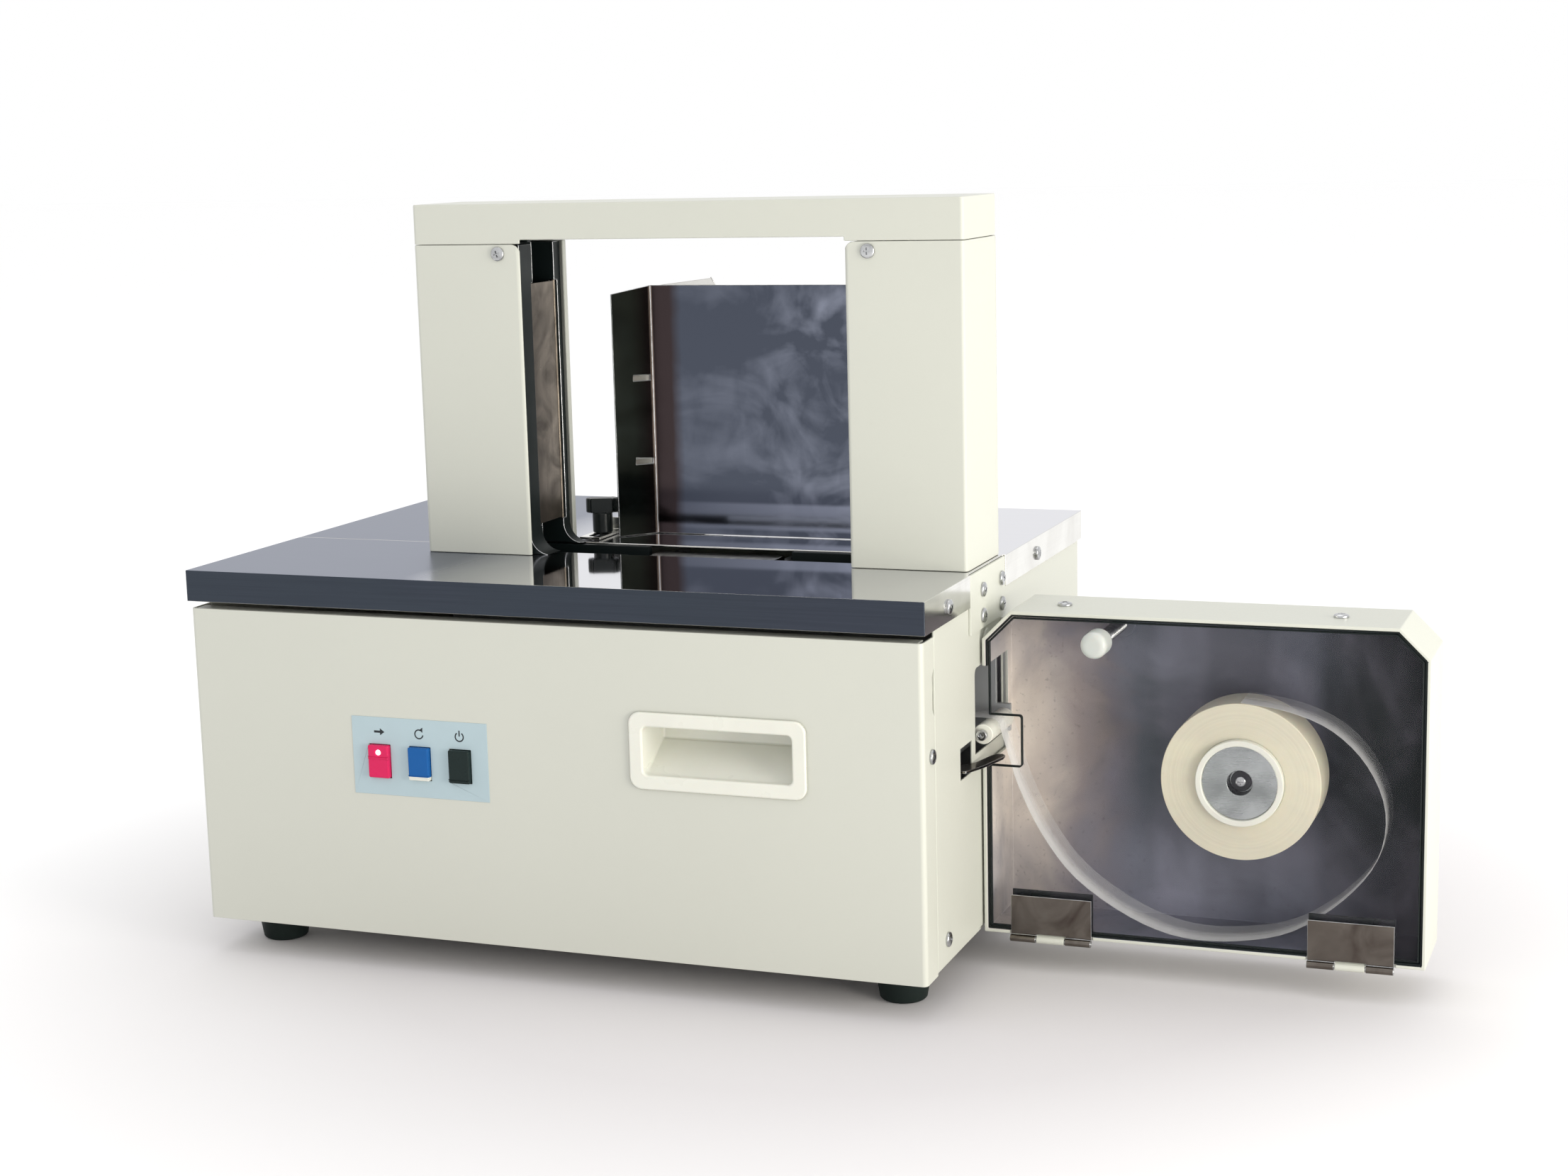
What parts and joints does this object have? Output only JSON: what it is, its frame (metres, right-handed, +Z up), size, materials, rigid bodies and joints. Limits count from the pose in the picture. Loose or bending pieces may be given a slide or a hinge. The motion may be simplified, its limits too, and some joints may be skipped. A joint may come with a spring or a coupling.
{
  "type": "semi automatic strapping machine",
  "caption": "Tabletop tape banding machine: steel cabinet with push buttons, tape arch over a steel worktop, sliding backstop and a side tape dispenser with a clear door.",
  "frame": {"origin": "middle of the outer box on the bench plane under the rubber feet", "axes": "+Z up, -Y out of the front panel, +X towards the tape dispenser"},
  "size_m": [0.7028, 0.3382, 0.439],
  "materials": {
    "aluminium": "satin",
    "black_gloss": "gloss",
    "black_plastic": "satin",
    "blue_plastic": "gloss",
    "board_green": "satin",
    "brass": "satin",
    "cream_paint": "satin powder coat",
    "decal_film": "satin",
    "frame_steel": "satin",
    "lamp_lens": "gloss",
    "mirror_steel": "polished",
    "motor_black": "satin",
    "red_plastic": "gloss",
    "rubber": "matte",
    "smoked_acrylic": "gloss",
    "spring_steel": "satin",
    "tape_paper": "satin",
    "white_plastic": "satin",
    "worktop_steel": "polished",
    "zinc_steel": "bright"
  },
  "bodies": {
    "machine": {"base_pan": "cream_paint", "cabinet_shell": "cream_paint", "front_panel": "cream_paint", "control_decal": "decal_film", "button_housings": "black_plastic", "flush_handle": "white_plastic", "feet": "rubber", "foot_screws": "zinc_steel", "cover_screws": "zinc_steel", "worktop_front": "worktop_steel", "worktop_rear": "worktop_steel", "column_left_cover": "cream_paint", "column_left_back": "cream_paint", "column_right_cover": "cream_paint", "column_right_back": "cream_paint", "beam_cover": "cream_paint", "arch_frame": "frame_steel", "arch_mount_plate": "cream_paint", "track_left": "black_plastic", "track_right": "black_plastic", "track_top": "black_plastic", "slot_guides": "black_plastic", "dispenser_frame": "cream_paint", "door_seal": "rubber", "hinge_pins": "zinc_steel", "latch_post": "zinc_steel", "roll_spindle": "zinc_steel", "tape_web": "tape_paper", "idler_axle": "zinc_steel", "feed_bracket": "frame_steel", "feed_motor": "motor_black", "head_frame": "frame_steel", "cam_motor": "motor_black", "control_board": "board_green", "power_supply": "aluminium", "power_inlet": "black_plastic"},
    "feed_button": {"feed_button": "red_plastic", "feed_lamp": "lamp_lens"},
    "reset_button": {"reset_button": "blue_plastic"},
    "start_button": {"start_button": "black_gloss"},
    "backstop": {"backstop_plate": "mirror_steel", "backstop_foot": "worktop_steel"},
    "clamp_knob": {"clamp_knob": "black_gloss"},
    "gate_left": {"gate_left": "spring_steel"},
    "gate_right": {"gate_right": "spring_steel"},
    "dispenser_door": {"dispenser_door": "smoked_acrylic", "hinge_clips": "mirror_steel"},
    "door_knob": {"door_knob": "white_plastic"},
    "tape_roll": {"tape_roll": "tape_paper", "roll_core": "white_plastic", "roll_hub": "aluminium"},
    "idler_roller": {"idler_roller": "white_plastic"},
    "release_lever": {"release_lever": "spring_steel"},
    "pinch_roller": {"pinch_roller": "rubber"},
    "drive_roller": {"drive_roller": "rubber"},
    "cam_shaft": {"cam_shaft": "zinc_steel"},
    "heater_blade": {"heater_blade": "brass"},
    "cutter_blade": {"cutter_blade": "zinc_steel"},
    "seal_anvil": {"seal_anvil": "zinc_steel"},
    "power_rocker": {"power_rocker": "red_plastic"}
  },
  "joints": [
    {"name": "feed_press", "type": "slide", "parent": "machine", "child": "feed_button", "axis": [0, 1, 0], "range_m": [0, 0.0022], "stiffness_N_per_m": 600, "springref_m": -0.001},
    {"name": "reset_press", "type": "slide", "parent": "machine", "child": "reset_button", "axis": [0, 1, 0], "range_m": [0, 0.0022], "stiffness_N_per_m": 600, "springref_m": -0.001},
    {"name": "start_press", "type": "slide", "parent": "machine", "child": "start_button", "axis": [0, 1, 0], "range_m": [0, 0.0022], "stiffness_N_per_m": 600, "springref_m": -0.001},
    {"name": "backstop_slide", "type": "slide", "parent": "machine", "child": "backstop", "axis": [0, 1, 0], "range_m": [0, 0.014]},
    {"name": "clamp_turn", "type": "hinge", "parent": "machine", "child": "clamp_knob", "pos_m": [-0.16045, 0.0081, 0.24], "axis": [0, 0, 1], "range_deg": [0, 270]},
    {"name": "gate_left_swing", "type": "hinge", "parent": "machine", "child": "gate_left", "pos_m": [-0.17325, -0.0221, 0.321], "axis": [0, 0, 1], "range_deg": [0, 25], "stiffness_Nm_per_rad": 0.2, "springref_deg": -5.73},
    {"name": "gate_right_swing", "type": "hinge", "parent": "machine", "child": "gate_right", "pos_m": [0.03495, -0.0221, 0.321], "axis": [0, 0, -1], "range_deg": [0, 25], "stiffness_Nm_per_rad": 0.2, "springref_deg": -5.73},
    {"name": "door_hinge", "type": "hinge", "parent": "machine", "child": "dispenser_door", "pos_m": [0.22765, -0.0625, 0.0188], "axis": [1, 0, 0], "range_deg": [0, 90]},
    {"name": "knob_pull", "type": "slide", "parent": "dispenser_door", "child": "door_knob", "axis": [0, -1, 0], "range_m": [0, 0.004], "stiffness_N_per_m": 400, "springref_m": -0.002},
    {"name": "roll_spin", "type": "hinge", "parent": "machine", "child": "tape_roll", "pos_m": [0.24895, -0.0389, 0.1166], "axis": [0, 1, 0], "continuous": true},
    {"name": "idler_spin", "type": "hinge", "parent": "machine", "child": "idler_roller", "pos_m": [0.10605, -0.0389, 0.1384], "axis": [0, 1, 0], "continuous": true},
    {"name": "lever_lift", "type": "hinge", "parent": "machine", "child": "release_lever", "pos_m": [0.08455, -0.0759, 0.1235], "axis": [0, -1, 0], "range_deg": [0, 9], "stiffness_Nm_per_rad": 0.6, "springref_deg": -8.59},
    {"name": "pinch_spin", "type": "hinge", "parent": "release_lever", "child": "pinch_roller", "pos_m": [0.06755, -0.0389, 0.1362], "axis": [0, 1, 0], "continuous": true},
    {"name": "drive_spin", "type": "hinge", "parent": "machine", "child": "drive_roller", "pos_m": [0.06755, -0.0389, 0.1571], "axis": [0, 1, 0], "continuous": true},
    {"name": "cam_spin", "type": "hinge", "parent": "machine", "child": "cam_shaft", "pos_m": [-0.06915, -0.0389, 0.131], "axis": [1, 0, 0], "continuous": true},
    {"name": "heater_lift", "type": "slide", "parent": "machine", "child": "heater_blade", "axis": [0, 0, 1], "range_m": [0, 0.006], "stiffness_N_per_m": 800, "springref_m": -0.004},
    {"name": "cutter_lift", "type": "slide", "parent": "machine", "child": "cutter_blade", "axis": [0, 0, 1], "range_m": [0, 0.006], "stiffness_N_per_m": 800, "springref_m": -0.004},
    {"name": "anvil_slide", "type": "slide", "parent": "machine", "child": "seal_anvil", "axis": [0, 1, 0], "range_m": [0, 0.036]},
    {"name": "power_switch", "type": "hinge", "parent": "machine", "child": "power_rocker", "pos_m": [-0.27245, 0.1631, 0.071], "axis": [1, 0, 0], "range_deg": [-14, 0]}
  ],
  "couplings": [
    {"joint": "pinch_spin", "follows": "drive_spin", "ratio": -1.5}
  ]
}
